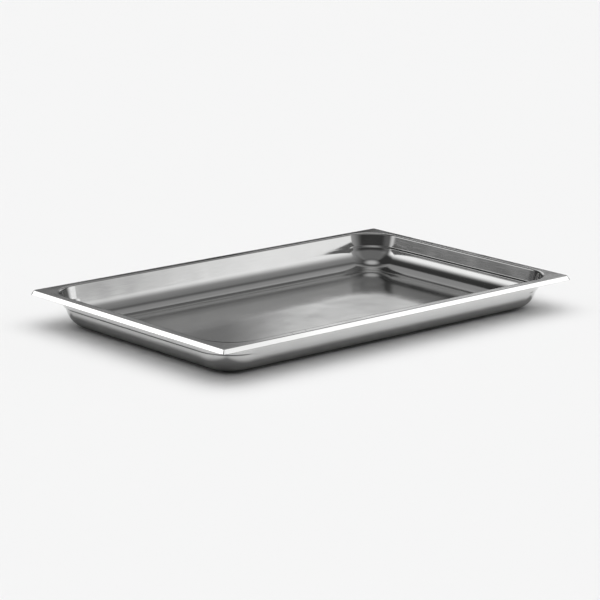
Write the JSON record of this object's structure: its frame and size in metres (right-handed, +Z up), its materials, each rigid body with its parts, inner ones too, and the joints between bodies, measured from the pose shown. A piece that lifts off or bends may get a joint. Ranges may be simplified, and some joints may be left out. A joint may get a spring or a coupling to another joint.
{
  "type": "deli food pan",
  "caption": "Shallow full-size steel food pan with curved corners, a flat rim, a sloped stiffening lip and a stacking shoulder at its short ends and corners.",
  "frame": {"origin": "centre of the underside of the floor, on the surface the pan rests on", "axes": "+Z up, +X along the pan's length, +Y along its width"},
  "size_m": [0.53, 0.325, 0.04],
  "materials": {
    "polished_steel": "polished stainless steel with a faint satin grain"
  },
  "bodies": {
    "root": {"pan_shell": "polished_steel"}
  },
  "joints": []
}
